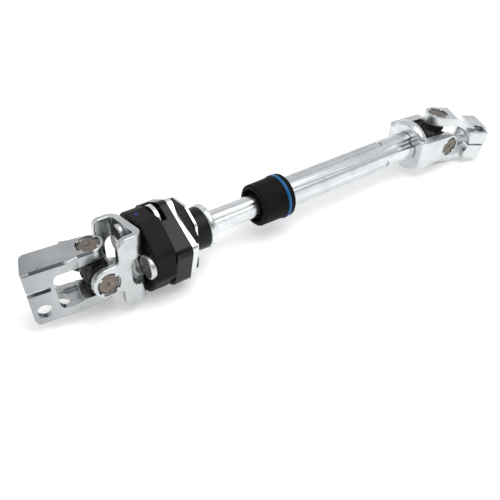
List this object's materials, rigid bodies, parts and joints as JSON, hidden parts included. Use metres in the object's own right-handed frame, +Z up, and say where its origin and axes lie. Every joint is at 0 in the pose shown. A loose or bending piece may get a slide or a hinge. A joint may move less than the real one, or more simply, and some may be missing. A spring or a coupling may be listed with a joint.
{
  "type": "intermediate steering shaft",
  "caption": "Telescoping steering shaft with a universal joint at each end and a rubber flexible coupling beside the near joint.",
  "frame": {"origin": "centre of the whole part's box, on the surface that it lies on", "axes": "+X along the shaft from the near yoke to the far yoke, +Z up as it lies"},
  "size_m": [0.444, 0.0662, 0.0631],
  "materials": {
    "near_end_yoke": "bright zinc plate over pressed or forged steel, lightly scuffed",
    "coupling_yoke": "bright zinc plate over pressed or forged steel, lightly scuffed",
    "backing_plate": "bright zinc plate over pressed or forged steel, lightly scuffed",
    "flange_plate": "bright zinc plate over pressed or forged steel, lightly scuffed",
    "retainer_plate": "bright zinc plate over pressed or forged steel, lightly scuffed",
    "bushing_collar": "bright zinc plate over pressed or forged steel, lightly scuffed",
    "outer_tube": "bright zinc plate over pressed or forged steel, lightly scuffed",
    "tube_yoke": "bright zinc plate over pressed or forged steel, lightly scuffed",
    "far_end_yoke": "bright zinc plate over pressed or forged steel, lightly scuffed",
    "yoke_rivets": "bright zinc plate over pressed or forged steel, lightly scuffed",
    "flange_rivets": "bright zinc plate over pressed or forged steel, lightly scuffed",
    "inner_shaft": "bright zinc plate over pressed or forged steel, lightly scuffed",
    "near_yoke_cups": "bare hardened steel, dull",
    "coupling_yoke_cups": "bare hardened steel, dull",
    "tube_yoke_cups": "bare hardened steel, dull",
    "far_yoke_cups": "bare hardened steel, dull",
    "near_cross": "dark oiled steel",
    "far_cross": "dark oiled steel",
    "near_cross_seals": "black rubber, matt",
    "far_cross_seals": "black rubber, matt",
    "coupling_disc": "black rubber, matt",
    "isolator_pad": "black rubber, matt",
    "bushing_sleeve": "black rubber, matt",
    "end_cap": "black rubber, matt",
    "coupling_spacer": "black moulded plastic",
    "cap_ring": "blue plastic ring, glossy"
  },
  "bodies": {
    "coupling": {"coupling_yoke": "coupling_yoke", "coupling_yoke_cups": "coupling_yoke_cups", "yoke_rivets": "yoke_rivets", "flange_rivets": "flange_rivets", "coupling_disc": "coupling_disc", "backing_plate": "backing_plate", "coupling_spacer": "coupling_spacer", "flange_plate": "flange_plate", "isolator_pad": "isolator_pad", "retainer_plate": "retainer_plate", "bushing_sleeve": "bushing_sleeve", "bushing_collar": "bushing_collar", "inner_shaft": "inner_shaft"},
    "near_spider": {"near_cross": "near_cross", "near_cross_seals": "near_cross_seals"},
    "near_yoke": {"near_end_yoke": "near_end_yoke", "near_yoke_cups": "near_yoke_cups"},
    "tube": {"outer_tube": "outer_tube", "end_cap": "end_cap", "cap_ring": "cap_ring", "tube_yoke": "tube_yoke", "tube_yoke_cups": "tube_yoke_cups"},
    "far_spider": {"far_cross": "far_cross", "far_cross_seals": "far_cross_seals"},
    "far_yoke": {"far_end_yoke": "far_end_yoke", "far_yoke_cups": "far_yoke_cups"}
  },
  "joints": [
    {"name": "near_pitch", "type": "hinge", "parent": "coupling", "child": "near_spider", "pos_m": [-0.17077, 0.00128, 0.03259], "axis": [0, 1, 0], "range_deg": [-24.5, 35.5]},
    {"name": "near_swing", "type": "hinge", "parent": "near_spider", "child": "near_yoke", "pos_m": [-0.17077, 0.00128, 0.03259], "axis": [-0.0737, 0, 0.9973], "range_deg": [-17, 43]},
    {"name": "telescope", "type": "slide", "parent": "coupling", "child": "tube", "axis": [0.9998, 0, -0.0222], "range_m": [-0.042, 0.03]},
    {"name": "far_pitch", "type": "hinge", "parent": "tube", "child": "far_spider", "pos_m": [0.17294, 0.00128, 0.02495], "axis": [0.0023, 0.9947, 0.1028], "range_deg": [-35.7, 24.3]},
    {"name": "far_swing", "type": "hinge", "parent": "far_spider", "child": "far_yoke", "pos_m": [0.17294, 0.00128, 0.02495], "axis": [0.1213, -0.1023, 0.9873], "range_deg": [-7, 53]}
  ]
}
